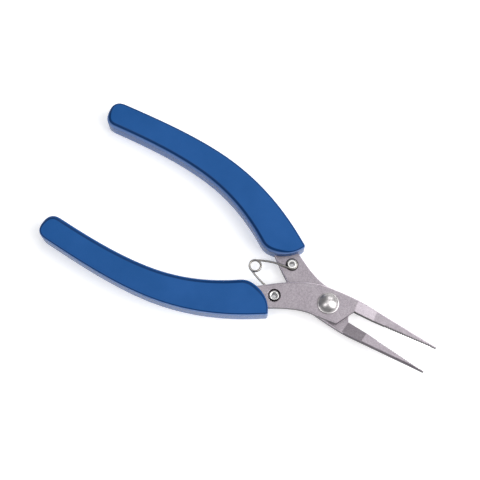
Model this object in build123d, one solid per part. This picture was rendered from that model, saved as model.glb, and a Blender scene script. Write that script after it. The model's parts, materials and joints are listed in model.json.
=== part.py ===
from build123d import *
import math
import os

# Needle nose pliers: two identical lap-jointed steel halves, one turned over, on a domed rivet,
# with moulded grips and a torsion spring hooked on two hollow eyelets.
#
# Every shape is drawn with the jaws closed: the pivot axis is Z through (0, 0), the jaws meet on
# y = 0 and point along +X, and the lapped faces meet on z = 0. The front half lies at z > 0, with
# its handle at y < 0 and its jaw at y > 0. The rear pieces are the front ones turned over about X.
# The pliers are then opened to rest, and set down with the base of their box centred on the origin.
# Lengths are in mm and angles in degrees.

# steel halves
plate = 3.0              # thickness of each half
lap_gap = 0.04           # running gap between the two lapped faces
rest_opening = 13.0      # angle between the halves at rest, held by the spring
boss_half = 4.95         # half width of each half at the pivot

# jaws
jaw_reach = 36.6         # pivot to tips
jaw_root = 8.5           # pivot to where the jaw leaves the lap
joggle_length = 6.7      # length of the ramp that brings both jaws into one plane
tip_width = 0.42         # width of one jaw at its tip
tip_thickness = 2.1      # thickness of the jaws at their tips
jaw_taper = 9.2          # slope of a jaw's outer edge
grip_start = 19.0        # pivot to the first tooth
face_gap = 0.03          # gap to the parting plane at the tips when closed
face_lean = 1.4          # slope of the gripping faces, so that the tips meet first
tooth_pitch = 0.8
tooth_depth = 0.2
tip_bevel = 0.8          # how far the bevel of a jaw's outer edge reaches down at the tip
tip_bevel_inset = 0.35   # how far it reaches across the jaw there
tip_bevel_length = 12.0

# shoulder of the lap, which clears the other jaw
shoulder_foot = 4.66     # pivot to the shoulder's outer corner, along X

# handles: a centre line that leaves the parting plane, bulges and comes back towards the tail
neck_start = 2.5         # pivot to where the centre line starts to bend
mouth_at = 22.4          # pivot to the middle of the grip's mouth, along X
mouth_drop = 7.0         # how far the centre line has left the parting plane there
mouth_slope = 27.0       # its slope there
bulge_at = 56.0          # pivot to the handle's widest point
bulge_drop = 15.45       # centre line to parting plane there
tail_at = 93.8           # pivot to the end of the grip
tail_drop = 10.5         # centre line to parting plane there
tail_slope = -11.0       # its slope there, back towards the parting plane
neck_half = 3.4          # half width of the steel where it enters the grip
tang_half = 2.5          # half width of the tang at its end
tang_cover = 13.8        # solid grip behind the end of the tang
tang_end = tail_at - tang_cover
grip_front_half = 6.0    # half width of the grip at its mouth
grip_tail_half = 4.2     # half width of the grip at its tail
grip_cover = 1.4         # grip above and below the steel, which also clears the rivet's tail
grip_height = 2 * (plate + grip_cover)
grip_round = 1.0         # rounding of the grip's long edges
grip_corner = 1.2        # rounding of the grip's front outer corner, in plan
grip_inner_corner = 3.0  # rounding of its front inner corner
mouth_inner_at = 24.85   # pivot to the mouth's inner corner
mouth_outer_at = 19.0    # pivot to its outer corner, further forward
mouth_bulge = 2.5        # how far the grip's front bulges forward

# pivot rivet and washer
shank_radius = 2.0       # tight in the front half and the washer
pivot_clearance = 0.03   # radial running clearance in the rear half and the washer's seat
head_radius = shank_radius + 1.4
head_rim = 0.45          # height of the head's straight rim
head_height = 2.0
tail_radius = shank_radius + 0.75
tail_height = 0.7        # peened tail, which the washer bears on
washer_radius = head_radius + 0.2
washer_thickness = 0.5

# eyelets
eyelet_at = 17.2         # pivot to eyelet
eyelet_angle = 13.9      # angle of the eyelet off the parting plane, closed
barrel_radius = 1.05
eyelet_bore = barrel_radius - 0.3
flange_radius = barrel_radius + 0.45
flange_depth = 0.3       # how deep the outer flange sits in its counterbore
flange_proud = 0.12
counterbore_radius = flange_radius + 0.58
collar_radius = barrel_radius + 0.35     # inner flange, which keeps the spring's hook on
collar_thickness = 0.25

# spring
wire_radius = 0.3
wire_lift = wire_radius + 0.12           # wire's centre above the lapped face
coil_radius = 1.8
leg_length = 11.75       # coil axis to eyelet axis
hook_clearance = 0.15    # between the hook and the eyelet's barrel
hook_wrap = 270.0        # how far the hook goes round the eyelet
coil_wrap = 300.0        # how far each half of the spring goes round the coil

outline_steps = 6        # stations on each stretch of a handle's outline


def cubic(x, x0, x1, y0, y1, slope0, slope1):
    """Value and slope at x of the cubic from (x0, y0) to (x1, y1) with the end slopes given."""
    span = x1 - x0
    u = (x - x0) / span
    m0 = span * math.tan(math.radians(slope0))
    m1 = span * math.tan(math.radians(slope1))
    value = (y0 * (2 * u**3 - 3 * u**2 + 1) + m0 * (u**3 - 2 * u**2 + u)
             + y1 * (3 * u**2 - 2 * u**3) + m1 * (u**3 - u**2))
    slope = ((y0 - y1) * (6 * u**2 - 6 * u) + m0 * (3 * u**2 - 4 * u + 1) + m1 * (3 * u**2 - 2 * u)) / span
    return value, slope


def centre_line(x):
    """Drop below the parting plane, and slope, of the handle's centre line at x behind the pivot."""
    if x <= neck_start:
        return 0.0, 0.0
    if x <= mouth_at:
        return cubic(x, neck_start, mouth_at, 0.0, mouth_drop, 0.0, mouth_slope)
    if x <= bulge_at:
        return cubic(x, mouth_at, bulge_at, mouth_drop, bulge_drop, mouth_slope, 0.0)
    return cubic(x, bulge_at, tail_at, bulge_drop, tail_drop, 0.0, tail_slope)


def handle_edge(x, offset):
    """Point at a signed offset from the centre line, positive towards the other handle."""
    drop, slope = centre_line(x)
    length = math.hypot(1.0, slope)
    return (-x - offset * slope / length, -drop + offset / length)


def steps(start, end, count):
    """Evenly spaced values from start to end, both included."""
    return [start + (end - start) * i / count for i in range(count + 1)]


def steel_half_width(x):
    """Half width of the steel at x behind the pivot: it tapers to the grip, then along the tang."""
    if x <= mouth_at:
        share = max(0.0, (x - neck_start) / (mouth_at - neck_start))
        return boss_half + (neck_half - boss_half) * share
    return neck_half + (tang_half - neck_half) * (x - mouth_at) / (tang_end - mouth_at)


def grip_half_width(x):
    """Half width of the grip at x behind the pivot, flaring towards its mouth."""
    share = (tail_at - x) / (tail_at - mouth_at)
    return grip_tail_half + (grip_front_half - grip_tail_half) * share**2


def jaw_outer(x):
    """Height of a jaw's outer edge above the parting plane."""
    return tip_width + (jaw_reach - x) * math.tan(math.radians(jaw_taper))


def jaw_inner(x):
    """Height of a jaw's gripping face above the parting plane."""
    return face_gap + (jaw_reach - x) * math.tan(math.radians(face_lean))


def half_outline():
    """Plan of the front half, without its teeth."""
    back = steps(neck_start, tang_end, 2 * outline_steps)
    inner = [handle_edge(x, steel_half_width(x)) for x in back]
    outer = [handle_edge(x, -steel_half_width(x)) for x in back]
    taper_end = jaw_root + joggle_length
    tail = centre_line(tang_end)[1]
    tail_pull = (-1.0, -tail)
    tip_in = (jaw_reach, jaw_inner(jaw_reach))
    tip_out = (jaw_reach, tip_width)
    taper_in = (taper_end, jaw_outer(taper_end))
    root = (jaw_root, jaw_inner(jaw_root))
    foot = (shoulder_foot, -boss_half)
    return make_face(
        Line(tip_in, tip_out)
        + Line(tip_out, taper_in)
        + Spline(taper_in, inner[0], tangents=[(-1.0, math.tan(math.radians(jaw_taper))), (-1.0, 0.0)])
        + Spline(*inner, tangents=[(-1.0, 0.0), tail_pull])
        + Line(inner[-1], outer[-1])
        + Spline(*outer, tangents=[(-1.0, 0.0), tail_pull])
        + Line(outer[0], foot)
        + Line(foot, root)
        + Line(root, tip_in)
    )


def side_profile():
    """Side view of the front half: flat lap and tang, joggle down to the common jaw plane, thin tips."""
    low = lap_gap / 2
    ramp_end = jaw_root + joggle_length
    thick = plate / 2
    thin = tip_thickness / 2
    points = [
        (-tail_at, low), (jaw_root, low), (ramp_end, -thick), (jaw_reach, -thin),
        (jaw_reach, thin), (ramp_end, thick), (jaw_root, low + plate), (-tail_at, low + plate),
    ]
    return Plane.XZ * make_face(Polyline(*points, close=True))


def tooth_grooves():
    """Vee grooves along Z that leave the teeth of one gripping face."""
    grooves = []
    count = int((jaw_reach - 1.5 - grip_start) / tooth_pitch)
    for i in range(count):
        x = grip_start + tooth_pitch * (i + 0.5)
        top = jaw_inner(x)
        vee = make_face(Polyline(
            (x - tooth_pitch / 2, top - 0.02), (x, top + tooth_depth), (x + tooth_pitch / 2, top - 0.02),
            close=True))
        grooves.append(Pos(0, 0, -plate) * extrude(vee, 2 * plate))
    return grooves


def tetrahedron(a, b, c, d):
    """Solid with four corners."""
    faces = [Face(Wire.make_polygon([Vector(*p) for p in corners], close=True))
             for corners in ((a, b, c), (a, b, d), (a, c, d), (b, c, d))]
    return Solid(Shell(faces))


def tip_bevels():
    """Two wedges that slope a jaw's outer edge off towards its tip, above and below."""
    start = jaw_reach - tip_bevel_length
    end = jaw_reach + 1.0
    reach = end - start
    thinning = (plate - tip_thickness) / 2 / (jaw_reach - jaw_root - joggle_length)
    start_face = tip_thickness / 2 + thinning * tip_bevel_length
    end_face = start_face - thinning * reach
    fall = tip_bevel * reach / tip_bevel_length
    inset = tip_bevel_inset * reach / tip_bevel_length
    wedges = []
    for side in (1, -1):
        point = (start, jaw_outer(start), side * start_face)
        on_face = (end, jaw_outer(end) - inset, side * end_face)
        on_edge = (end, jaw_outer(end), side * (end_face - fall))
        outside = (end, jaw_outer(end) + reach, side * (end_face + reach))
        wedges.append(tetrahedron(point, on_face, on_edge, outside))
    return wedges


def eyelet_place():
    """Centre of the front eyelet, closed."""
    turn = math.radians(eyelet_angle)
    return (-eyelet_at * math.cos(turn), -eyelet_at * math.sin(turn))


def steel_blank():
    """Front half before its edges, teeth and holes."""
    plan = Pos(0, 0, -plate) * extrude(half_outline(), 3 * plate)
    side = extrude(side_profile(), tail_at) + extrude(side_profile(), -tail_at)
    return plan & side


def steel_half():
    """Front half: tip bevelled, teeth cut, pivot and eyelet holes bored."""
    body = steel_blank()
    top = plate + lap_gap / 2
    for wedge in tip_bevels():
        body -= wedge
    for groove in tooth_grooves():
        body -= groove
    x, y = eyelet_place()
    body -= Cylinder(shank_radius, 4 * plate)
    body -= Pos(x, y, 0) * Cylinder(barrel_radius, 4 * plate)
    body -= Pos(x, y, top) * Cylinder(counterbore_radius, 2 * flange_depth)
    return body


def grip_outline():
    """Plan of the front grip: two long edges, a bulging mouth and a round tail."""
    inner_x = steps(mouth_inner_at, tail_at - grip_tail_half, outline_steps)
    outer_x = steps(mouth_outer_at, tail_at - grip_tail_half, outline_steps)
    inner = [Vector(*handle_edge(x, grip_half_width(x))) for x in inner_x]
    outer = [Vector(*handle_edge(x, -grip_half_width(x))) for x in outer_x]
    tail = handle_edge(tail_at, 0.0)
    middle = (inner[0] + outer[0]) / 2
    across = (outer[0] - inner[0]).normalized()
    bulge = middle + Vector(-across.Y, across.X) * mouth_bulge
    back = centre_line(tail_at - grip_tail_half)[1]
    return make_face(
        Spline(*inner, tangents=[(-1.0, -centre_line(inner_x[0])[1]), (-1.0, -back)])
        + Spline(inner[-1], tail, outer[-1], tangents=[(-1.0, -back), (back, -1.0), (1.0, back)])
        + Spline(*outer, tangents=[(-1.0, -centre_line(outer_x[0])[1]), (-1.0, -back)])
        + ThreePointArc(outer[0], bulge, inner[0])
    )


def grip():
    """Front grip, moulded round the tang."""
    body = Pos(0, 0, -grip_height / 2) * extrude(grip_outline(), grip_height)
    body = fillet(body.edges().filter_by(Axis.Z).sort_by(Axis.X)[-1], grip_corner)
    body = fillet(body.edges().filter_by(Axis.Z).sort_by(Axis.Y)[-1], grip_inner_corner)
    level = [e for e in body.edges() if abs(abs(e.center().Z) - grip_height / 2) < 0.01]
    body = fillet(level, grip_round)
    return body - steel_blank()


def eyelet():
    """Front eyelet: a hollow barrel with a flange in the counterbore and a collar behind the hook."""
    top = plate + lap_gap / 2
    hook_top = -wire_lift - wire_radius - 0.03
    low = hook_top - collar_thickness
    seat = top - flange_depth
    rim = top + flange_proud
    section = Plane.XZ * make_face(Polyline(
        (eyelet_bore, low), (collar_radius, low), (collar_radius, hook_top), (barrel_radius, hook_top),
        (barrel_radius, seat), (flange_radius, seat), (flange_radius, rim), (barrel_radius, rim),
        (eyelet_bore, seat), close=True))
    x, y = eyelet_place()
    return Pos(x, y, 0) * revolve(section, Axis.Z)


def dome(radius, base, crown):
    """Arc of a spherical dome in a section: from its top on the axis to its edge."""
    height = crown - base
    ball = (radius**2 + height**2) / (2 * abs(height))
    half = math.asin(radius / ball) / 2
    sign = math.copysign(1, height)
    middle = (ball * math.sin(half), crown - sign * ball * (1 - math.cos(half)))
    return ThreePointArc((0, crown), middle, (radius, base))


def pivot_rivet():
    """Rivet through both halves: domed head in front, shank, and a tail peened over the washer."""
    top = plate + lap_gap / 2
    seat = -top - washer_thickness - pivot_clearance
    rim = top + head_rim
    crown = top + head_height
    end = seat - tail_height
    outline = (
        Line((0, end), (0, crown))
        + dome(head_radius, rim, crown)
        + Line((head_radius, rim), (head_radius, top))
        + Line((head_radius, top), (shank_radius, top))
        + Line((shank_radius, top), (shank_radius, seat))
        + Line((shank_radius, seat), (tail_radius, seat))
        + dome(tail_radius, seat, end)
    )
    return revolve(Plane.XZ * make_face(outline), Axis.Z)


def pivot_washer():
    """Washer between the rear half and the peened tail."""
    top = -plate - lap_gap / 2 - pivot_clearance
    ring = Cylinder(washer_radius, washer_thickness) - Cylinder(shank_radius, washer_thickness)
    ring = chamfer(ring.edges().filter_by(GeomType.CIRCLE).sort_by(SortBy.RADIUS)[-2:], 0.1)
    return Pos(0, 0, top - washer_thickness / 2) * ring


def turned(place, angle):
    """A point turned about the pivot, in plan."""
    turn = math.radians(angle)
    x, y = place
    return Vector(x * math.cos(turn) - y * math.sin(turn), x * math.sin(turn) + y * math.cos(turn))


def spring_places():
    """Rest places of the front eyelet and the coil's axis."""
    hook = turned(eyelet_place(), rest_opening / 2)
    coil = Vector(hook.X - math.sqrt(leg_length**2 - hook.Y**2), 0)
    return hook, coil


def spring_half():
    """Front half of the spring, at rest: hook round the eyelet, leg, and its share of the coil."""
    hook, coil = spring_places()
    hook_radius = barrel_radius + hook_clearance + wire_radius
    cross = math.degrees(math.asin((hook_radius + coil_radius) / leg_length))
    lean = math.degrees(math.atan2(hook.Y - coil.Y, hook.X - coil.X)) + cross
    leaves = Vector(math.sin(math.radians(lean)), -math.cos(math.radians(lean)))
    path = Wire([
        CenterArc(hook, hook_radius, lean + 90.0 - hook_wrap, hook_wrap),
        Line(hook - leaves * hook_radius, coil + leaves * coil_radius),
        CenterArc(coil, coil_radius, lean - 90.0 - coil_wrap, coil_wrap),
    ])
    path = Pos(0, 0, -wire_lift) * path
    return sweep(Plane(origin=path @ 0, z_dir=path % 0) * Circle(wire_radius), path)


def turned_over(shape):
    """The same piece turned over about X, as the rear half is."""
    return Rot(180, 0, 0) * shape


def front_pieces():
    """The pieces that the two sides share, drawn for the front, in their closed places."""
    return {"half": steel_half(), "grip": grip(), "eyelet": eyelet()}


def assembly():
    """Every node in its rest place, about the pivot."""
    open_front = Rot(0, 0, rest_opening / 2)
    open_rear = Rot(0, 0, -rest_opening / 2)
    nodes = {"pivot_rivet": pivot_rivet(), "pivot_washer": pivot_washer()}
    for name, shape in front_pieces().items():
        nodes["front_" + name] = open_front * shape
        nodes["rear_" + name] = open_rear * turned_over(shape)
    nodes["rear_half"] -= Cylinder(shank_radius + pivot_clearance, 4 * plate)
    nodes["spring_front"] = spring_half()
    nodes["spring_rear"] = turned_over(spring_half())
    return nodes


def main():
    """Writes each node, with the base of the rest box centred on the origin."""
    os.makedirs("parts", exist_ok=True)
    nodes = assembly()
    box = Compound(children=[Part() + shape for shape in nodes.values()]).bounding_box()
    shift = Vector(-(box.min.X + box.max.X) / 2, -(box.min.Y + box.max.Y) / 2, -box.min.Z)
    for name, shape in nodes.items():
        export_step(Pos(shift) * shape, f"parts/{name}.step")
    hook, coil = spring_places()
    print("size", box.size)
    print("pivot", shift)
    print("front eyelet", hook + shift, "rear eyelet", Vector(hook.X, -hook.Y) + shift, "coil", coil + shift)


main()
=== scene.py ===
"""Looks for the needle nose pliers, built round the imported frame.

Pieces are drawn in millimetres as the front half of the closed tool: pivot axis Z through (0, 0), jaws
along +X, lapped faces on z = 0. place() turns the rear ones over, opens the tool and sets it in the frame.
"""
import json
import math

import bmesh
import bpy
from mathutils import Matrix, Vector


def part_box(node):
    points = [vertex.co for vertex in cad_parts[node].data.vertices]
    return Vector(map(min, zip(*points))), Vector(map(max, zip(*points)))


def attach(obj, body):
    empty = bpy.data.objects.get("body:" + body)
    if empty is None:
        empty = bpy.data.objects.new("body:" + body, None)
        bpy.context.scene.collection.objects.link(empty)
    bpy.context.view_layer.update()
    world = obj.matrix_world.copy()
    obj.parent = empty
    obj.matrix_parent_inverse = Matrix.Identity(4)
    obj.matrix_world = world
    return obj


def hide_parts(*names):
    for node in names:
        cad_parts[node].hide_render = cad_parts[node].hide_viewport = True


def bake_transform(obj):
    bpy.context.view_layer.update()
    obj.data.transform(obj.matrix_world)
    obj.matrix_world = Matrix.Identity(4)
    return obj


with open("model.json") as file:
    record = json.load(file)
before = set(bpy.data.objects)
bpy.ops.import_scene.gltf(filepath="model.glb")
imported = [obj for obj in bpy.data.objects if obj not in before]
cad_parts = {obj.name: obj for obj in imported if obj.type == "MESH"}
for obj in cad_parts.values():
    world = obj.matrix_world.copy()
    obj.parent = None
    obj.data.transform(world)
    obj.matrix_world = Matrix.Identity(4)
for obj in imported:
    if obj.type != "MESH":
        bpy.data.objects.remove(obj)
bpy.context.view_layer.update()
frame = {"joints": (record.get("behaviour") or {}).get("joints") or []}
PIVOT = Vector(next(j for j in frame["joints"] if j["name"] == "pivot")["pos_m"])
MM = 0.001

# the tool, in millimetres and degrees
REST_OPENING = 13.0
PLATE, LAP_GAP = 3.0, 0.04
BOSS_HALF = 4.95
JAW_REACH, JAW_ROOT, JOGGLE = 36.6, 8.5, 6.7
TIP_WIDTH, TIP_THICKNESS, JAW_TAPER = 0.42, 2.1, 9.2
TEETH_START, FACE_GAP, FACE_LEAN = 19.0, 0.03, 1.4
TOOTH_PITCH, TOOTH_DEPTH = 0.8, 0.2
SHOULDER_FOOT = 4.66
NECK_START, NECK_HALF, TANG_HALF, TANG_END = 2.5, 3.4, 2.5, 80.0
MOUTH_AT, MOUTH_DROP, MOUTH_SLOPE = 22.4, 7.0, 27.0
BULGE_AT, BULGE_DROP = 56.0, 15.45
TAIL_AT, TAIL_DROP, TAIL_SLOPE = 93.8, 10.5, -11.0
GRIP_FRONT_HALF, GRIP_TAIL_HALF, GRIP_HEIGHT = 6.0, 4.2, 8.8
MOUTH_INNER_AT, MOUTH_OUTER_AT, MOUTH_BULGE = 24.85, 19.0, 2.5
HEAD_RADIUS, HEAD_HEIGHT, SHANK_RADIUS = 3.4, 2.0, 2.0
WASHER_RADIUS, WASHER_THICKNESS, WASHER_GAP = 3.6, 0.5, 0.03
TAIL_RADIUS, TAIL_HEIGHT = 2.75, 0.7
EYELET_AT, EYELET_ANGLE = 17.2, 13.9
BARREL_RADIUS, EYELET_BORE = 1.05, 0.75
FLANGE_RADIUS, FLANGE_DEPTH, FLANGE_PROUD, COUNTERBORE = 1.5, 0.3, 0.12, 2.08
COLLAR_RADIUS, COLLAR_THICKNESS = 1.4, 0.25
WIRE_RADIUS, WIRE_LIFT, COIL_RADIUS, LEG_LENGTH = 0.3, 0.42, 1.8, 11.75
HOOK_CLEARANCE, HOOK_WRAP, LEG_BOW = 0.15, 270.0, 0.6
TOP = PLATE + LAP_GAP / 2
LOW = LAP_GAP / 2

# reach of the rounded edges and corners, in millimetres; these are not all as in CAD
OUTER_EDGE, INNER_EDGE, FACE_EDGE, TOOTH_EDGE = 0.45, 0.3, 0.1, (0.03, 0.05)
GRIP_EDGE, GRIP_EDGE_WIDEST = 0.6, 1.45
INNER_CORNER, OUTER_CORNER = 1.7, 0.8
RIM_EDGE, WASHER_EDGE = 0.12, 0.12

# smaller features, in millimetres
TIP_GAP = 1.5               # plain stretch kept between the teeth and the tip
RIM_HEIGHT, RIM_WIDTH = 0.42, 0.28
LIP_RADIUS, FLARE_WIDTH, FLARE_DEPTH, ROLL_RADIUS = 0.17, 0.30, 0.45, 0.12
GROOVE_DEPTH = 2.2          # dark groove round an eyelet's flange, below its seat; CAD stops at the seat
SHOWN_WIRE = 1.08 * WIRE_RADIUS     # a little thicker than in CAD

WHITE, BLACK = (1.0, 1.0, 1.0), (0.0, 0.0, 0.0)


# ------------------------------------------------------------------ outlines

def cubic(x, x0, x1, y0, y1, slope0, slope1):
    """Value and slope at x of the cubic from (x0, y0) to (x1, y1) with the end slopes, in degrees."""
    span = x1 - x0
    u = (x - x0) / span
    m0 = span * math.tan(math.radians(slope0))
    m1 = span * math.tan(math.radians(slope1))
    value = (y0 * (2 * u**3 - 3 * u**2 + 1) + m0 * (u**3 - 2 * u**2 + u)
             + y1 * (3 * u**2 - 2 * u**3) + m1 * (u**3 - u**2))
    slope = ((y0 - y1) * (6 * u**2 - 6 * u) + m0 * (3 * u**2 - 4 * u + 1) + m1 * (3 * u**2 - 2 * u)) / span
    return value, slope


def centre_line(x):
    """Drop below the parting plane, and slope, of the handle's centre line at x behind the pivot."""
    if x <= NECK_START:
        return 0.0, 0.0
    if x <= MOUTH_AT:
        return cubic(x, NECK_START, MOUTH_AT, 0.0, MOUTH_DROP, 0.0, MOUTH_SLOPE)
    if x <= BULGE_AT:
        return cubic(x, MOUTH_AT, BULGE_AT, MOUTH_DROP, BULGE_DROP, MOUTH_SLOPE, 0.0)
    return cubic(x, BULGE_AT, TAIL_AT, BULGE_DROP, TAIL_DROP, 0.0, TAIL_SLOPE)


def handle_edge(x, offset):
    """Point at a signed offset from the centre line, positive towards the other handle."""
    drop, slope = centre_line(x)
    length = math.hypot(1.0, slope)
    return Vector((-x - offset * slope / length, -drop + offset / length))


def spread(start, end, step):
    """Evenly spaced values from start to end, both included, about a step apart."""
    count = max(1, round(abs(end - start) / step))
    return [start + (end - start) * i / count for i in range(count + 1)]


def smooth(t):
    """Eases from 0 to 1."""
    t = min(1.0, max(0.0, t))
    return t * t * (3 - 2 * t)


def steel_half_width(x):
    """Half width of the steel at x behind the pivot."""
    if x <= MOUTH_AT:
        return BOSS_HALF + (NECK_HALF - BOSS_HALF) * max(0.0, (x - NECK_START) / (MOUTH_AT - NECK_START))
    return NECK_HALF + (TANG_HALF - NECK_HALF) * (x - MOUTH_AT) / (TANG_END - MOUTH_AT)


def grip_half_width(x):
    """Half width of the grip at x behind the pivot."""
    share = (TAIL_AT - x) / (TAIL_AT - MOUTH_AT)
    return GRIP_TAIL_HALF + (GRIP_FRONT_HALF - GRIP_TAIL_HALF) * share**2


def jaw_outer(x):
    """Height of a jaw's outer edge above the parting plane."""
    return TIP_WIDTH + (JAW_REACH - x) * math.tan(math.radians(JAW_TAPER))


def jaw_inner(x):
    """Height of a jaw's gripping face above the parting plane."""
    return FACE_GAP + (JAW_REACH - x) * math.tan(math.radians(FACE_LEAN))


# ------------------------------------------------------------------ mesh building

UPPER, LOWER, IN_HOLE = 1, -1, 2        # where a vertex of a slab belongs


def inward(loop):
    """For each point of an anticlockwise outline, the vector that insets its two sides by one."""
    vectors = []
    for i, p in enumerate(loop):
        before = (p - loop[i - 1]).normalized()
        after = (loop[(i + 1) % len(loop)] - p).normalized()
        n0 = Vector((-before.y, before.x))
        n1 = Vector((-after.y, after.x))
        vectors.append((n0 + n1) / max(0.4, 1 + n0.dot(n1)))
    return vectors


def bridge(bm, ring_a, ring_b):
    """Smooth quads between two closed rings of as many vertices."""
    for i in range(len(ring_a)):
        j = (i + 1) % len(ring_a)
        bm.faces.new((ring_a[i], ring_a[j], ring_b[j], ring_b[i])).smooth = True


def edge_shape(segments, crisp):
    """Shares inwards and downwards along a rounded edge, from the wall to the face. A crisp one turns fast
    where it meets the face and the wall, and is nearly a bevel between."""
    least, bevel, spread_of_bevel = 0.28, 47.0, 13.0
    points = [(0.0, 0.0)]
    for k in range(segments):
        turn = math.pi / 2 * (k + 0.5) / segments
        weight = 1.0
        if crisp:
            weight = least + math.exp(-((math.degrees(turn) - bevel) / spread_of_bevel)**2)
        across, up = points[-1]
        points.append((across + weight * math.sin(turn), up + weight * math.cos(turn)))
    whole_across, whole_up = points[-1]
    return [(across / whole_across, 1 - up / whole_up) for across, up in points]


def hole_rings(bm, centre, profile, heights, side, steps=48):
    """Rings of vertices down a round hole, from its (radius, height) pairs."""
    rings = []
    for radius, height in profile:
        made = []
        for k in range(steps):
            turn = math.tau * k / steps
            vert = bm.verts.new((centre[0] + radius * math.cos(turn), centre[1] + radius * math.sin(turn), 0))
            vert[side] = IN_HOLE
            vert[heights] = height
            made.append(vert)
        rings.append(made)
    return rings


def fill_between(bm, loops):
    """Flat face inside the first loop and outside the others."""
    edges = []
    for loop in loops:
        for i, vert in enumerate(loop):
            other = loop[(i + 1) % len(loop)]
            edges.append(bm.edges.get((vert, other)) or bm.edges.new((vert, other)))
    filled = bmesh.ops.triangle_fill(bm, edges=edges, use_beauty=True, use_dissolve=False)
    for face in filled["geom"]:
        if isinstance(face, bmesh.types.BMFace):
            face.smooth = False


def raise_verts(bm, heights, side, top, low):
    """Lifts the flat rings and faces of a slab to their heights."""
    for vert in bm.verts:
        if vert[side] == IN_HOLE:
            vert.co.z = vert[heights]
        elif vert[side] == UPPER:
            vert.co.z = top(vert.co.x) + vert[heights]
        else:
            vert.co.z = low(vert.co.x) - vert[heights]


def slab(name, outline, top, low, holes=(), cuts=(), segments=5, support=0.04, crisp=False):
    """Plate of any plan. outline lists (point, inset, fall) anticlockwise: how far the rounding of the
    upper and lower edges reaches in and down there. top and low give the heights at x. Each hole is
    (centre, profile), with its profile's (radius, height) pairs from the top down. cuts are the x of
    bends."""
    points = [Vector(p) for p, _, _ in outline]
    vectors = inward(points)
    bm = bmesh.new()
    heights = bm.verts.layers.float.new("lift")
    side = bm.verts.layers.int.new("side")

    def ring(share_in, share_down, extra, which):
        made = []
        for p, v, (_, inset, fall) in zip(points, vectors, outline):
            spot = p + v * (inset * share_in + extra)
            vert = bm.verts.new((spot.x, spot.y, 0))
            vert[heights] = -fall * share_down
            vert[side] = which
            made.append(vert)
        return made

    shape = edge_shape(segments, crisp)
    upper = [ring(*share, 0.0, UPPER) for share in shape] + [ring(1, 0, support, UPPER)]
    lower = [ring(*share, 0.0, LOWER) for share in shape] + [ring(1, 0, support, LOWER)]
    bridge(bm, lower[0], upper[0])
    for a, b in zip(upper, upper[1:]):
        bridge(bm, a, b)
    for a, b in zip(lower, lower[1:]):
        bridge(bm, b, a)
    upper_rims, lower_rims = [upper[-1]], [lower[-1]]
    for centre, profile in holes:
        rings = hole_rings(bm, centre, profile, heights, side)
        for a, b in zip(rings, rings[1:]):
            bridge(bm, a, b)
        upper_rims.append(rings[0])
        lower_rims.append(rings[-1])
    fill_between(bm, upper_rims)
    fill_between(bm, lower_rims)
    for x in cuts:
        geometry = bm.verts[:] + bm.edges[:] + bm.faces[:]
        bmesh.ops.bisect_plane(bm, geom=geometry, plane_co=(x, 0, 0), plane_no=(1, 0, 0), dist=1e-6)
    raise_verts(bm, heights, side, top, low)
    bmesh.ops.remove_doubles(bm, verts=bm.verts, dist=1e-5)
    bmesh.ops.recalc_face_normals(bm, faces=bm.faces)
    return finished(name, bm)


def lathe(name, profile, centre=(0, 0), steps=96):
    """Solid of revolution about Z from (radius, height) pairs; a closed profile if it is a tube."""
    bm = bmesh.new()
    rings = []
    for radius, height in profile:
        if radius < 1e-6:
            rings.append([bm.verts.new((centre[0], centre[1], height))])
            continue
        rings.append([bm.verts.new((centre[0] + radius * math.cos(math.tau * k / steps),
                                    centre[1] + radius * math.sin(math.tau * k / steps), height))
                      for k in range(steps)])
    pairs = list(zip(rings, rings[1:]))
    if len(rings[0]) > 1:
        pairs.append((rings[-1], rings[0]))
    for a, b in pairs:
        if len(a) == 1 or len(b) == 1:
            tip, loop = (a[0], b) if len(a) == 1 else (b[0], a)
            for i in range(steps):
                bm.faces.new((tip, loop[i], loop[(i + 1) % steps])).smooth = True
        else:
            bridge(bm, a, b)
    bmesh.ops.recalc_face_normals(bm, faces=bm.faces)
    return finished(name, bm)


def tube(name, path, radius, sides=20):
    """Round wire along a list of points, with domed ends."""
    dome = (0.5, 1.0, 1.35)
    tangents = []
    for i in range(len(path)):
        tangents.append((path[min(i + 1, len(path) - 1)] - path[max(i - 1, 0)]).normalized())
    spots = [(path[0] - tangents[0] * radius * math.sin(a), tangents[0], radius * math.cos(a))
             for a in reversed(dome)]
    spots += [(p, t, radius) for p, t in zip(path, tangents)]
    spots += [(path[-1] + tangents[-1] * radius * math.sin(a), tangents[-1], radius * math.cos(a))
              for a in dome]
    bm = bmesh.new()
    across = tangents[0].orthogonal().normalized()
    rings = []
    for spot, tangent, size in spots:
        across = (across - tangent * across.dot(tangent)).normalized()
        other = tangent.cross(across)
        rings.append([bm.verts.new(spot + (across * math.cos(math.tau * k / sides)
                                           + other * math.sin(math.tau * k / sides)) * size)
                      for k in range(sides)])
    for a, b in zip(rings, rings[1:]):
        bridge(bm, a, b)
    for cap in (rings[0], rings[-1]):
        bm.faces.new(cap).smooth = True
    bmesh.ops.recalc_face_normals(bm, faces=bm.faces)
    return finished(name, bm)


def finished(name, bm, sharp=34.0):
    """Mesh object from a bmesh, with its sharp edges marked."""
    mesh = bpy.data.meshes.new(name)
    smooth_faces = [face.smooth for face in bm.faces]
    bm.to_mesh(mesh)
    bm.free()
    mesh.set_sharp_from_angle(angle=math.radians(sharp))
    mesh.polygons.foreach_set("use_smooth", smooth_faces)
    piece = bpy.data.objects.new(name, mesh)
    bpy.context.scene.collection.objects.link(piece)
    return piece


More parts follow.
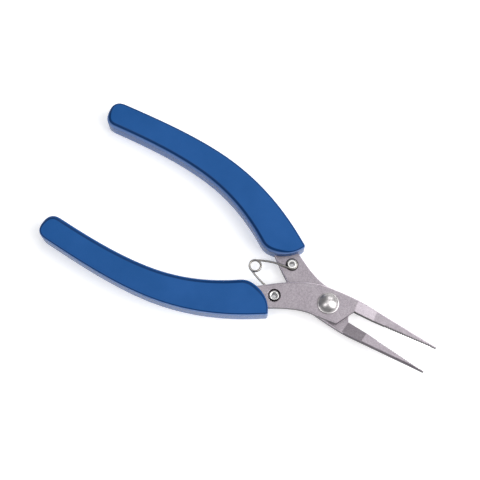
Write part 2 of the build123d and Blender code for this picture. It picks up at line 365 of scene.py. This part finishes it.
def place(piece, side, opened=True):
    """Moves a piece drawn for the closed front half to its rest place in the frame, in metres."""
    turn = math.radians(REST_OPENING / 2)
    matrix = Matrix.Scale(MM, 4)
    if side == "rear":
        matrix = Matrix.Rotation(math.pi, 4, "X") @ matrix
        turn = -turn
    if opened:
        matrix = Matrix.Rotation(turn, 4, "Z") @ matrix
    piece.data.transform(Matrix.Translation(PIVOT) @ matrix)
    return piece


def dress(piece, body, slot, material, *nodes):
    """Material, body and the CAD nodes that a piece stands for. The slot argument is not used."""
    piece.data.materials.append(material)
    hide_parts(*nodes)
    if body:
        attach(piece, body)
    return piece


# ------------------------------------------------------------------ materials

def new_material(name):
    """Empty node material, with its shader and a maker for further nodes."""
    material = bpy.data.materials.new(name)
    material.use_nodes = True
    tree = material.node_tree
    shader = tree.nodes["Principled BSDF"]

    def node(kind, **values):
        made = tree.nodes.new(kind)
        for key, value in values.items():
            if key in made.inputs:
                made.inputs[key].default_value = value
            else:
                setattr(made, key, value)
        return made
    return material, tree.links.new, shader, node


def object_millimetres(node, link):
    """Coordinates that move with the piece, in millimetres."""
    place_node = node("ShaderNodeTexCoord")
    scaled = node("ShaderNodeMapping")
    scaled.inputs["Scale"].default_value = (1000, 1000, 1000)
    link(place_node.outputs["Object"], scaled.inputs["Vector"])
    return scaled.outputs["Vector"]


def ramp(node, link, factor, stops):
    """Colour ramp over a factor: stops are (position, colour)."""
    made = node("ShaderNodeValToRGB")
    elements = made.color_ramp.elements
    elements[0].position, elements[0].color = stops[0][0], (*stops[0][1], 1)
    elements[1].position, elements[1].color = stops[1][0], (*stops[1][1], 1)
    for position, colour in stops[2:]:
        elements.new(position).color = (*colour, 1)
    link(factor, made.inputs["Fac"])
    return made.outputs["Color"]


def span(node, link, value, low, high):
    """Maps 0..1 to low..high."""
    made = node("ShaderNodeMapRange")
    made.inputs["To Min"].default_value = low
    made.inputs["To Max"].default_value = high
    link(value, made.inputs["Value"])
    return made.outputs["Result"]


def steel_material(side):
    """Bead-blasted stainless steel: grain and faint stains, with the painted light and shade of edge_shade().
    """
    material, link, shader, node = new_material(side + "_blasted_steel")
    at = object_millimetres(node, link)
    shader.inputs["Metallic"].default_value = 1.0
    cloud = node("ShaderNodeTexNoise", Scale=0.25, Detail=4.0, Roughness=0.6)
    grain = node("ShaderNodeTexNoise", Scale=2.2, Detail=4.0, Roughness=0.8)
    for texture in (cloud, grain):
        link(at, texture.inputs["Vector"])
    stained, clean = (0.360, 0.322, 0.356), (0.420, 0.380, 0.414)
    stains = ramp(node, link, cloud.outputs["Fac"], [(0.3, stained), (0.7, clean)])
    speckle = ramp(node, link, grain.outputs["Fac"], [(0.36, grey(0.70)), (0.64, grey(1.1))])
    faces = multiplied(node, link, stains, speckle)
    edges = edge_shade(node, link, at, side)
    link(multiplied(node, link, faces, edges), shader.inputs["Base Color"])
    link(span(node, link, grain.outputs["Fac"], 0.40, 0.56), shader.inputs["Roughness"])
    bump = node("ShaderNodeBump", Strength=0.4, Distance=0.00003)
    link(grain.outputs["Fac"], bump.inputs["Height"])
    link(bump.outputs["Normal"], shader.inputs["Normal"])
    return material


def grey(value):
    """Colour of equal parts."""
    return (value, value, value)


def multiplied(node, link, first, second):
    """First colour multiplied by the second."""
    made = node("ShaderNodeMix", data_type="RGBA", blend_type="MULTIPLY")
    made.inputs[0].default_value = 1.0
    link(first, made.inputs[6])
    link(second, made.inputs[7])
    return made.outputs[2]


def mixed(node, link, share, first, colour):
    """First colour turned towards a fixed one by a share."""
    made = node("ShaderNodeMix", data_type="RGBA", blend_type="MIX")
    link(share, made.inputs[0])
    link(first, made.inputs[6])
    made.inputs[7].default_value = (*colour, 1)
    return made.outputs[2]


def arithmetic(node, link, operation, first, second):
    """Math node over an output and a second value, which is a number or another output."""
    made = node("ShaderNodeMath", operation=operation)
    link(first, made.inputs[0])
    if isinstance(second, float):
        made.inputs[1].default_value = second
    else:
        link(second, made.inputs[1])
    return made.outputs[0]


def facing(node, link):
    """How level the surface lies, from 0 to 1, and how far it faces +Y, from -1 to 1."""
    surface = node("ShaderNodeTexCoord")
    parts = node("ShaderNodeSeparateXYZ")
    link(surface.outputs["Normal"], parts.inputs[0])
    level = node("ShaderNodeMath", operation="ABSOLUTE")
    link(parts.outputs["Z"], level.inputs[0])
    return level.outputs[0], parts.outputs["Y"]


def edge_shade(node, link, at, side):
    """Painted light and shade in the steel's colour: white on level faces, a painted highlight on the rounded
    edges, painted shade on upright walls and darker painted shade on the gripping face. The rear half also
    has painted shade on its jaw's outer edge and a painted shadow round its eyelet."""
    level, towards_y = facing(node, link)
    spot = node("ShaderNodeSeparateXYZ")
    link(at, spot.inputs[0])
    # painted shade: upright walls turned grey, darker than the level faces
    wall = (0.34, 0.34, 0.35)
    upright = ramp(node, link, level, [(0.10, wall), (0.42, WHITE)])
    # painted highlight: the part-tilted rounding of the edges made brighter than white
    painted_edge_highlight = ramp(node, link, level, [(0.40, WHITE), (0.97, WHITE), (0.60, grey(2.2)), (0.90, grey(2.2))])
    upright = multiplied(node, link, upright, painted_edge_highlight)
    inwards = arithmetic(node, link, "MULTIPLY", towards_y, -1.0 if side == "front" else 1.0)
    is_inner = arithmetic(node, link, "GREATER_THAN", inwards, 0.6)
    is_jaw = arithmetic(node, link, "GREATER_THAN", spot.outputs["X"], PIVOT.x / MM + JAW_ROOT)
    is_gripping = arithmetic(node, link, "MULTIPLY", is_inner, is_jaw)
    # painted shade: the gripping face between the jaws made dark grey
    gripping_face_shade = ramp(node, link, is_gripping, [(0.3, WHITE), (0.7, grey(0.20))])
    shaded = multiplied(node, link, upright, gripping_face_shade)
    if side == "front":
        return shaded
    # painted shade: the rear jaw's outer edge made grey
    outwards = arithmetic(node, link, "MULTIPLY", towards_y, -1.0)
    is_outer = arithmetic(node, link, "MULTIPLY", outwards, is_jaw)
    outer = ramp(node, link, is_outer, [(0.15, WHITE), (0.45, wall)])
    shaded = multiplied(node, link, shaded, outer)
    return multiplied(node, link, shaded, hook_shadow(node, link, spot))


def hook_shadow(node, link, spot):
    """Painted shadow on the rear half's lapped face: a dark ring round the eyelet's barrel and under the
    hook.
    """
    low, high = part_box("rear_eyelet")
    centre = node("ShaderNodeCombineXYZ")
    in_plan = node("ShaderNodeCombineXYZ")
    for i, axis in enumerate("XY"):
        centre.inputs[axis].default_value = (low[i] + high[i]) / 2 / MM
        link(spot.outputs[axis], in_plan.inputs[axis])
    reach = node("ShaderNodeVectorMath", operation="DISTANCE")
    link(in_plan.outputs[0], reach.inputs[0])
    link(centre.outputs[0], reach.inputs[1])
    whole = 4.0
    share = arithmetic(node, link, "DIVIDE", reach.outputs["Value"], whole)
    # painted shadow: dark within about 2 mm of the eyelet's centre
    return ramp(node, link, share, [(1.96 / whole, grey(0.12)), (2.16 / whole, WHITE)])


def polished_material(name, colour, rough_low, rough_high, lines, rim_shade):
    """Turned or drawn bright steel: fine marks, small smudges, and painted shade where it turns away from the
    view.
    """
    material, link, shader, node = new_material(name)
    at = object_millimetres(node, link)
    shader.inputs["Metallic"].default_value = 1.0
    marks = node("ShaderNodeTexNoise", Scale=lines, Detail=2.0, Roughness=0.5)
    smudge = node("ShaderNodeTexNoise", Scale=0.9, Detail=3.0)
    for texture in (marks, smudge):
        link(at, texture.inputs["Vector"])
    dark = tuple(c * 0.86 for c in colour)
    face = ramp(node, link, smudge.outputs["Fac"], [(0.35, dark), (0.65, colour)])
    # painted shade: darker where the surface turns away from the view
    turned = node("ShaderNodeLayerWeight", Blend=0.5)
    rim = ramp(node, link, turned.outputs["Facing"], [(0.35, WHITE), (0.75, grey(rim_shade))])
    link(multiplied(node, link, face, rim), shader.inputs["Base Color"])
    link(span(node, link, smudge.outputs["Fac"], rough_low, rough_high), shader.inputs["Roughness"])
    bump = node("ShaderNodeBump", Strength=0.15, Distance=0.00001)
    link(marks.outputs["Fac"], bump.inputs["Height"])
    link(bump.outputs["Normal"], shader.inputs["Normal"])
    return material


def edge_tones(node, link, colour):
    """Painted shade as a darker line where the flat face meets its rounding, and a painted reflection as a
    paler one below it in front.
    """
    level, towards_y = facing(node, link)
    forwards = arithmetic(node, link, "MULTIPLY", towards_y, -1.0)
    near_side = ramp(node, link, forwards, [(0.1, BLACK), (0.4, WHITE)])
    # painted reflection: a paler band on the rounding that faces the front
    painted_reflection = ramp(node, link, level, [(0.12, BLACK), (0.76, BLACK), (0.35, WHITE), (0.66, WHITE)])
    # painted shade: a dark line on the rounding next to the flat face
    rim = ramp(node, link, level, [(0.66, BLACK), (0.995, BLACK), (0.76, WHITE), (0.97, WHITE)])
    rim_painted_shade = mixed(node, link, rim, colour, (0.006, 0.042, 0.150))
    painted_reflection = multiplied(node, link, painted_reflection, near_side)
    return mixed(node, link, painted_reflection, rim_painted_shade, (0.16, 0.27, 0.56))


def grip_material():
    """Semi-gloss blue moulding: slight orange peel, cloudy colour, and fine scuffs that dull it."""
    material, link, shader, node = new_material("blue_moulding")
    at = object_millimetres(node, link)
    cloud = node("ShaderNodeTexNoise", Scale=0.09, Detail=3.0, Roughness=0.55)
    peel = node("ShaderNodeTexNoise", Scale=1.6, Detail=2.0, Roughness=0.5)
    scuff = node("ShaderNodeTexNoise", Scale=9.0, Detail=4.0, Roughness=0.75)
    for texture in (cloud, peel, scuff):
        link(at, texture.inputs["Vector"])
    deep, light = (0.012, 0.086, 0.285), (0.017, 0.100, 0.325)
    colour = ramp(node, link, cloud.outputs["Fac"], [(0.3, deep), (0.7, light)])
    # edge_tones paints shade and a reflection into the grip's colour
    link(edge_tones(node, link, colour), shader.inputs["Base Color"])
    link(span(node, link, scuff.outputs["Fac"], 0.18, 0.34), shader.inputs["Roughness"])
    shader.inputs["Specular IOR Level"].default_value = 0.1
    bump = node("ShaderNodeBump", Strength=0.25, Distance=0.00004)
    link(peel.outputs["Fac"], bump.inputs["Height"])
    link(bump.outputs["Normal"], shader.inputs["Normal"])
    return material


# ------------------------------------------------------------------ pieces

def steel_top(x):
    """Height of the front half's outer face: flat lap, ramp down, jaw that thins to its tip."""
    end = JAW_ROOT + JOGGLE
    if x <= JAW_ROOT:
        return TOP
    if x <= end:
        return TOP + (PLATE / 2 - TOP) * (x - JAW_ROOT) / JOGGLE
    return PLATE / 2 + (TIP_THICKNESS - PLATE) / 2 * (x - end) / (JAW_REACH - end)


def steel_low(x):
    """Height of the front half's lapped face, and of its jaw's underside."""
    end = JAW_ROOT + JOGGLE
    if x <= JAW_ROOT:
        return LOW
    if x <= end:
        return LOW - (PLATE / 2 + LOW) * (x - JAW_ROOT) / JOGGLE
    return -PLATE / 2 - (TIP_THICKNESS - PLATE) / 2 * (x - end) / (JAW_REACH - end)


def jaw_rounding(x):
    """Inset and fall of the rounding on a jaw's outer edge, steeper towards the tip."""
    grow = smooth((x - JAW_ROOT - JOGGLE) / (JAW_REACH - JAW_ROOT - JOGGLE))
    width = jaw_outer(x) - jaw_inner(x)
    return min(OUTER_EDGE + 0.25 * grow, 0.62 * width), OUTER_EDGE + 0.35 * grow


def tooth_points():
    """Teeth of the gripping face, from the first to the tip, with the small breaks of their edges."""
    points = []
    count = int((JAW_REACH - TIP_GAP - TEETH_START) / TOOTH_PITCH)
    for i in range(count):
        x = TEETH_START + TOOTH_PITCH * i
        height = jaw_inner(x)
        for along, depth in ((0.03, 0.0), (0.45 * TOOTH_PITCH, TOOTH_DEPTH),
                             (0.55 * TOOTH_PITCH, TOOTH_DEPTH), (TOOTH_PITCH - 0.03, 0.0)):
            points.append(((x + along, height + depth), *TOOTH_EDGE))
    return points


def steel_outline():
    """Plan of the front half with its teeth, anticlockwise from the foot of the shoulder."""
    points = [((SHOULDER_FOOT, -BOSS_HALF), INNER_EDGE, INNER_EDGE),
              ((JAW_ROOT, jaw_inner(JAW_ROOT)), INNER_EDGE, INNER_EDGE)]
    points += [((x, jaw_inner(x)), FACE_EDGE, FACE_EDGE) for x in spread(JAW_ROOT, TEETH_START, 1.0)[1:-1]]
    points += tooth_points()
    points.append(((JAW_REACH - 0.12, jaw_inner(JAW_REACH)), 0.04, 0.1))
    points.append(((JAW_REACH, jaw_inner(JAW_REACH) + 0.1), 0.06, 0.2))
    points.append(((JAW_REACH, TIP_WIDTH - 0.12), 0.08, 0.35))
    end = JAW_ROOT + JOGGLE
    for x in spread(JAW_REACH - 0.25, end, 0.5):
        points.append(((x, jaw_outer(x)), *jaw_rounding(x)))
    for x in spread(end, -NECK_START, 0.45)[1:-1]:
        height = cubic(x, -NECK_START, end, BOSS_HALF, jaw_outer(end), 0.0, -JAW_TAPER)[0]
        points.append(((x, height), OUTER_EDGE, OUTER_EDGE))
    back = spread(NECK_START, TANG_END, 0.6)
    points += [(tuple(handle_edge(x, steel_half_width(x))), OUTER_EDGE, OUTER_EDGE) for x in back]
    points += [(tuple(handle_edge(x, -steel_half_width(x))), INNER_EDGE, INNER_EDGE) for x in reversed(back)]
    foot = spread(-NECK_START, SHOULDER_FOOT, 0.7)[1:-1]
    points += [((x, -BOSS_HALF), INNER_EDGE, INNER_EDGE) for x in foot]
    return points


def eyelet_place():
    """Centre of the front eyelet, closed."""
    turn = math.radians(EYELET_ANGLE)
    return (-EYELET_AT * math.cos(turn), -EYELET_AT * math.sin(turn))


def make_half(side, material):
    """One steel half, its tang hidden in the grip, with its eyelet hole counterbored on the outer face."""
    seat = TOP - FLANGE_DEPTH
    groove = seat - GROOVE_DEPTH
    eyelet_hole = [(COUNTERBORE + 0.07, TOP), (COUNTERBORE + 0.02, TOP - 0.03), (COUNTERBORE, TOP - 0.08),
                   (COUNTERBORE, groove), (FLANGE_RADIUS, groove), (FLANGE_RADIUS, seat),
                   (BARREL_RADIUS, seat), (BARREL_RADIUS, LOW)]
    pivot_hole = [(SHANK_RADIUS, TOP), (SHANK_RADIUS, LOW)]
    piece = slab(side + "_half_blasted", steel_outline(), steel_top, steel_low,
                 holes=[(eyelet_place(), eyelet_hole), ((0, 0), pivot_hole)],
                 cuts=(JAW_ROOT, JAW_ROOT + JOGGLE))
    place(piece, side)
    return dress(piece, side, "steel", material, side + "_half")


def squarish(share):
    """Sine or cosine that makes a circle's corners fuller."""
    return math.copysign(abs(share)**0.78, share)


def grip_outline():
    """Plan of the front grip: its inner edge, outer edge, bowed mouth and squarish tail."""
    tail_x = TAIL_AT - GRIP_TAIL_HALF
    inner = [handle_edge(x, grip_half_width(x)) for x in spread(MOUTH_INNER_AT, tail_x, 0.8)]
    outer = [handle_edge(x, -grip_half_width(x)) for x in spread(MOUTH_OUTER_AT, tail_x, 0.8)]
    chord = outer[0] - inner[0]
    half = chord.length / 2
    radius = (half**2 + MOUTH_BULGE**2) / (2 * MOUTH_BULGE)
    along = chord.normalized()
    forward = Vector((-along.y, along.x))
    centre = (inner[0] + outer[0]) / 2 + forward * (MOUTH_BULGE - radius)
    reach = math.asin(half / radius)
    mouth = [centre + (along * math.sin(a) + forward * math.cos(a)) * radius
             for a in spread(-reach, reach, 0.05)]
    slope = centre_line(tail_x)[1]
    back = Vector((-1.0, -slope)).normalized()
    side = Vector((-slope, 1.0)).normalized()
    hub = handle_edge(tail_x, 0.0)
    tail = [hub + (side * squarish(math.cos(a)) + back * squarish(math.sin(a))) * grip_half_width(tail_x)
            for a in spread(0, math.pi, 0.12)]
    return inner, outer, mouth, tail


def rounded_corner(loop, index, radius, steps=8):
    """Points that replace one corner of a loop with an arc-like curve that starts a radius away."""
    corner = loop[index]
    before = walk(loop, index, -1, radius)
    after = walk(loop, index, 1, radius)
    return [before * (1 - t)**2 + corner * 2 * t * (1 - t) + after * t**2
            for t in (k / steps for k in range(steps + 1))]


def walk(loop, index, direction, distance):
    """Point at a distance along a loop from one of its points."""
    here = loop[index]
    while True:
        index = (index + direction) % len(loop)
        step = (loop[index] - here).length
        if step >= distance:
            return here.lerp(loop[index], distance / step)
        distance -= step
        here = loop[index]


def cut_corner(loop, index, radius):
    """The loop with one corner rounded."""
    arc = rounded_corner(loop, index, radius)
    corner = loop[index]
    kept = [p for i, p in enumerate(loop) if (p - corner).length > radius or i == index]
    at = kept.index(corner)
    return kept[:at] + arc + kept[at + 1:]


def grip_edge(p, middle_line, outer_front):
    """Reach of the grip's rounding at a point of its plan: narrow outside and at the outer front corner,
    wide on the inner side."""
    across, fade = 7.0, 9.0
    nearest = min(range(len(middle_line)), key=lambda i: (middle_line[i] - p).length)
    a = middle_line[max(0, nearest - 1)]
    b = middle_line[min(len(middle_line) - 1, nearest + 1)]
    along = (b - a).normalized()
    offset = along.cross(p - middle_line[nearest])
    share = smooth(0.5 - offset / across)
    away = smooth((p - outer_front).length / fade)
    return GRIP_EDGE + (GRIP_EDGE_WIDEST - GRIP_EDGE) * share * away


def make_grip(side, material):
    """One moulded grip: flat faces, a narrow rounding outside and a wide one inside and at the mouth."""
    inner, outer, mouth, tail = grip_outline()
    # anticlockwise: mouth from the outer corner to the inner one, inner edge, tail, outer edge
    loop = mouth[::-1] + inner[1:-1] + tail + outer[::-1][1:-1]
    loop = cut_corner(loop, len(mouth) - 1, INNER_CORNER)
    loop = cut_corner(loop, 0, OUTER_CORNER)
    middle_line = [handle_edge(x, 0.0) for x in spread(MOUTH_OUTER_AT, TAIL_AT, 1.0)]
    points = []
    for p in loop:
        edge = grip_edge(p, middle_line, outer[0])
        points.append((tuple(p), edge, edge))
    half = GRIP_HEIGHT / 2
    piece = slab(side + "_grip_moulding", points, lambda x: half, lambda x: -half,
                 segments=12, support=0.06, crisp=True)
    place(piece, side)
    return dress(piece, side, "grip", material, side + "_grip")


def make_rivet(material):
    """Pivot rivet: thin rim, polished dome, shank, and a tail peened over the washer."""
    rim = TOP + RIM_HEIGHT
    foot = rim + 0.02
    crown = TOP + HEAD_HEIGHT
    base, rise = HEAD_RADIUS - RIM_WIDTH, crown - foot
    ball = (base**2 + rise**2) / (2 * rise)
    reach = math.asin(base / ball)
    dome = [(ball * math.sin(a), crown - ball * (1 - math.cos(a))) for a in spread(reach, 0.0, 0.04)]
    seat = -TOP - WASHER_THICKNESS - WASHER_GAP
    end = seat - TAIL_HEIGHT
    tail = [(TAIL_RADIUS * math.cos(a), seat + (end - seat) * math.sin(a))
            for a in spread(0, math.pi / 2, 0.12)]
    profile = [(0.0, end)] + tail[::-1][1:] + [(SHANK_RADIUS, seat), (SHANK_RADIUS, TOP)]
    profile += [(HEAD_RADIUS - 0.08, TOP), (HEAD_RADIUS, TOP + 0.08), (HEAD_RADIUS, rim - RIM_EDGE),
                (HEAD_RADIUS - 0.04, rim - 0.04), (HEAD_RADIUS - RIM_EDGE, rim)]
    profile += dome[:-1] + [(0.0, crown)]
    piece = lathe("pivot_rivet_polished", profile)
    place(piece, "front", opened=False)
    return dress(piece, "front", "rivet", material, "pivot_rivet")


def make_washer(material):
    """Washer under the rivet's tail, with broken edges."""
    top = -TOP - WASHER_GAP
    low = top - WASHER_THICKNESS
    inset = WASHER_RADIUS - WASHER_EDGE
    profile = [(SHANK_RADIUS, low), (SHANK_RADIUS, top), (inset, top), (WASHER_RADIUS, top - WASHER_EDGE),
               (WASHER_RADIUS, low + WASHER_EDGE), (inset, low)]
    piece = lathe("pivot_washer_plated", profile)
    place(piece, "front", opened=False)
    return dress(piece, "front", "rivet", material, "pivot_washer")


def make_eyelet(side, material):
    """Hollow rivet: flared mouth in the counterbore, barrel, and a rolled collar over the spring's hook."""
    hook_top = -WIRE_LIFT - WIRE_RADIUS - 0.03
    low = hook_top - COLLAR_THICKNESS
    seat = TOP - FLANGE_DEPTH
    rim = TOP + FLANGE_PROUD
    lip = [(FLANGE_RADIUS - LIP_RADIUS * (1 - math.cos(a)), rim - LIP_RADIUS * (1 - math.sin(a)))
           for a in spread(0, math.pi * 0.75, 0.25)]
    flare = [(EYELET_BORE + FLARE_WIDTH * (1 - math.sin(a)), rim - 0.05 - FLARE_DEPTH * (1 - math.cos(a)))
             for a in spread(0.15, math.pi / 2, 0.25)]
    roll = [(COLLAR_RADIUS - ROLL_RADIUS * (1 - math.cos(a)), low + ROLL_RADIUS * (1 - math.sin(a)))
            for a in spread(0, math.pi * 0.5, 0.3)]
    profile = [(BARREL_RADIUS, seat), (FLANGE_RADIUS, seat)] + lip + flare
    profile += [(EYELET_BORE, low + 0.15), (EYELET_BORE + 0.12, low)] + roll[::-1]
    profile += [(COLLAR_RADIUS, hook_top), (BARREL_RADIUS, hook_top)]
    piece = lathe(side + "_eyelet_plated", profile, centre=eyelet_place(), steps=64)
    place(piece, side)
    return dress(piece, side, "eyelet", material, side + "_eyelet")


def spring_half_path():
    """Wire's centre line about the pivot at rest, from the end of the front hook to the middle of the
    coil, and the coil's centre."""
    turn = math.radians(EYELET_ANGLE + REST_OPENING / 2)
    hook = Vector((-EYELET_AT * math.cos(turn), -EYELET_AT * math.sin(turn)))
    coil = Vector((hook.x - math.sqrt(LEG_LENGTH**2 - hook.y**2), 0))
    hook_radius = BARREL_RADIUS + HOOK_CLEARANCE + WIRE_RADIUS
    cross = math.asin((hook_radius + COIL_RADIUS) / LEG_LENGTH)
    lean = math.atan2(hook.y - coil.y, hook.x - coil.x) + cross
    leaves = Vector((math.sin(lean), -math.cos(lean)))
    path = []
    for a in spread(lean + math.radians(90 - HOOK_WRAP), lean + math.pi / 2, 0.12):
        spot = hook + hook_radius * Vector((math.cos(a), math.sin(a)))
        path.append(Vector((spot.x, spot.y, -WIRE_LIFT)))
    start = hook - leaves * hook_radius
    end = coil + leaves * COIL_RADIUS
    coil_lift = WIRE_LIFT + 0.02
    for t in spread(0.0, 1.0, 0.04)[1:-1]:
        spot = start.lerp(end, t) + leaves * LEG_BOW * math.sin(math.pi * t)
        path.append(Vector((spot.x, spot.y, -WIRE_LIFT + (WIRE_LIFT - coil_lift) * smooth(t))))
    begin = lean - math.pi / 2
    wrap = 3 * math.pi + begin
    for t in spread(0.0, 1.0, 0.12 / wrap):
        spot = coil + COIL_RADIUS * Vector((math.cos(begin - wrap * t), math.sin(begin - wrap * t)))
        path.append(Vector((spot.x, spot.y, -coil_lift * (1 - t))))
    return path, coil


def make_spring(material):
    """Return spring as one wire, coiled between the leg on each half."""
    path, coil = spring_half_path()
    other = [Vector((p.x, -p.y, -p.z)) for p in reversed(path[:-1])]
    piece = tube("return_spring_wire", path + other, SHOWN_WIRE)
    place(piece, "front", opened=False)
    dress(piece, None, "spring", material, "spring_front", "spring_rear")
    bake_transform(piece)
    return piece


# ------------------------------------------------------------------ stage

def make_floor():
    """Plain pale sheet under the tool."""
    mesh = bpy.data.meshes.new("floor")
    reach, level = 3.0, -0.00005
    corners = [(-reach, -reach, level), (reach, -reach, level), (reach, reach, level), (-reach, reach, level)]
    mesh.from_pydata(corners, [], [(0, 1, 2, 3)])
    floor = bpy.data.objects.new("floor", mesh)
    bpy.context.scene.collection.objects.link(floor)
    material, _, shader, _ = new_material("pale_sheet")
    shader.inputs["Base Color"].default_value = (0.93, 0.93, 0.93, 1)
    shader.inputs["Roughness"].default_value = 0.9
    shader.inputs["Emission Color"].default_value = (*WHITE, 1)
    shader.inputs["Emission Strength"].default_value = 0.42
    floor.data.materials.append(material)


def make_light(name, offset, aim, size, power):
    """Rectangular soft light at an offset, in metres, from the place that it is aimed at."""
    data = bpy.data.lights.new(name, "AREA")
    data.shape = "RECTANGLE"
    data.size, data.size_y = size
    data.energy = power
    lamp = bpy.data.objects.new(name, data)
    lamp.location = aim + offset
    lamp.rotation_mode = "QUATERNION"
    lamp.rotation_quaternion = (-offset).to_track_quat("-Z", "Y")
    bpy.context.scene.collection.objects.link(lamp)


def make_lights():
    """Soft overhead light, a key from beyond the jaws, two weak ones for the edges, and a dim room."""
    centre = PIVOT + Vector((-0.03, 0, 0))
    make_light("overhead", Vector((-0.02, 0.14, 0.75)), centre, (0.45, 0.45), 0.80)
    make_light("key", Vector((0.50, 0.16, 0.52)), centre, (0.56, 0.80), 5.0)
    make_light("back", Vector((-0.06, 0.60, 0.42)), centre, (0.50, 0.25), 1.0)
    make_light("edge", Vector((-0.22, -0.32, 0.70)), centre, (0.14, 0.34), 0.9)
    world = bpy.data.worlds.new("room")
    world.use_nodes = True
    room = world.node_tree.nodes["Background"]
    room.inputs["Color"].default_value = (0.95, 0.96, 1.0, 1)
    room.inputs["Strength"].default_value = 0.18
    bpy.context.scene.world = world


def make_camera():
    """Camera high over the tool, a little in front of it, and aimed behind the pivot."""
    azimuth, elevation, distance = math.radians(29.0), math.radians(77.5), 0.45
    aim = PIVOT + Vector((-34.54, 5.0, 0)) * MM
    back = Vector((math.sin(azimuth) * math.cos(elevation), -math.cos(azimuth) * math.cos(elevation),
                   math.sin(elevation)))
    data = bpy.data.cameras.new("camera")
    data.sensor_width = 36.0
    data.lens = 105.4
    data.clip_start = 0.01
    camera = bpy.data.objects.new("camera", data)
    camera.location = aim + back * distance
    camera.rotation_mode = "QUATERNION"
    camera.rotation_quaternion = (-back).to_track_quat("-Z", "Y")
    bpy.context.scene.collection.objects.link(camera)
    bpy.context.scene.camera = camera


def main():
    """Builds every piece, the stage and the camera."""
    bpy.context.scene.view_settings.view_transform = "Standard"
    make_camera()
    make_lights()
    make_floor()
    blue = grip_material()
    dome = polished_material("polished_steel", (0.74, 0.71, 0.71), 0.33, 0.40, 7.0, 0.2)
    plated = polished_material("plated_steel", (0.74, 0.73, 0.72), 0.18, 0.30, 9.0, 0.15)
    wire = polished_material("spring_wire", (0.40, 0.38, 0.355), 0.24, 0.34, 12.0, 0.07)
    for side in ("front", "rear"):
        make_half(side, steel_material(side))
        make_grip(side, blue)
        make_eyelet(side, plated)
    make_rivet(dome)
    make_washer(plated)
    make_spring(wire)


main()
